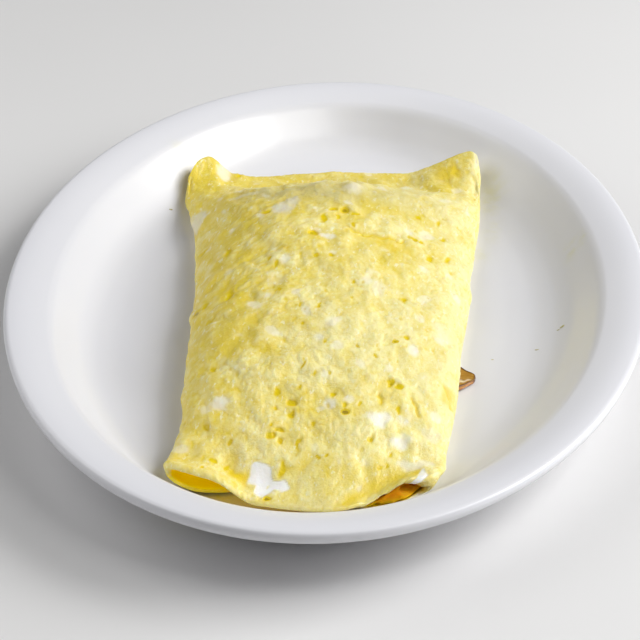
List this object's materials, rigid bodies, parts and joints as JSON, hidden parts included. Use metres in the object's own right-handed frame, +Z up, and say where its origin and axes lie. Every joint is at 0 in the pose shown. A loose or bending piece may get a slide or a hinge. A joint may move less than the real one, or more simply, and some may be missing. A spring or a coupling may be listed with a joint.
{
  "type": "folded omelette on an oval platter",
  "caption": "Egg sheet folded into a flat packet round an amber filling, open at the near end with raised ears at the far end, on an oval narrow-rim platter.",
  "frame": {"origin": "on the table, under the centre of the platter", "axes": "+Y along the platter's long axis, away from the omelette's open end, +X to the right, +Z up"},
  "size_m": [0.2054, 0.292, 0.0303],
  "materials": {
    "plate": "smooth glossy white glaze",
    "egg": "soft, moist, finely pitted egg with white patches",
    "filling": "moist amber filling with a browned skin",
    "onion": "glossy, translucent, browned at the edges"
  },
  "bodies": {
    "root": {"plate": "plate", "omelette": "egg", "filling": "filling", "onion_piece": "onion"}
  },
  "joints": []
}
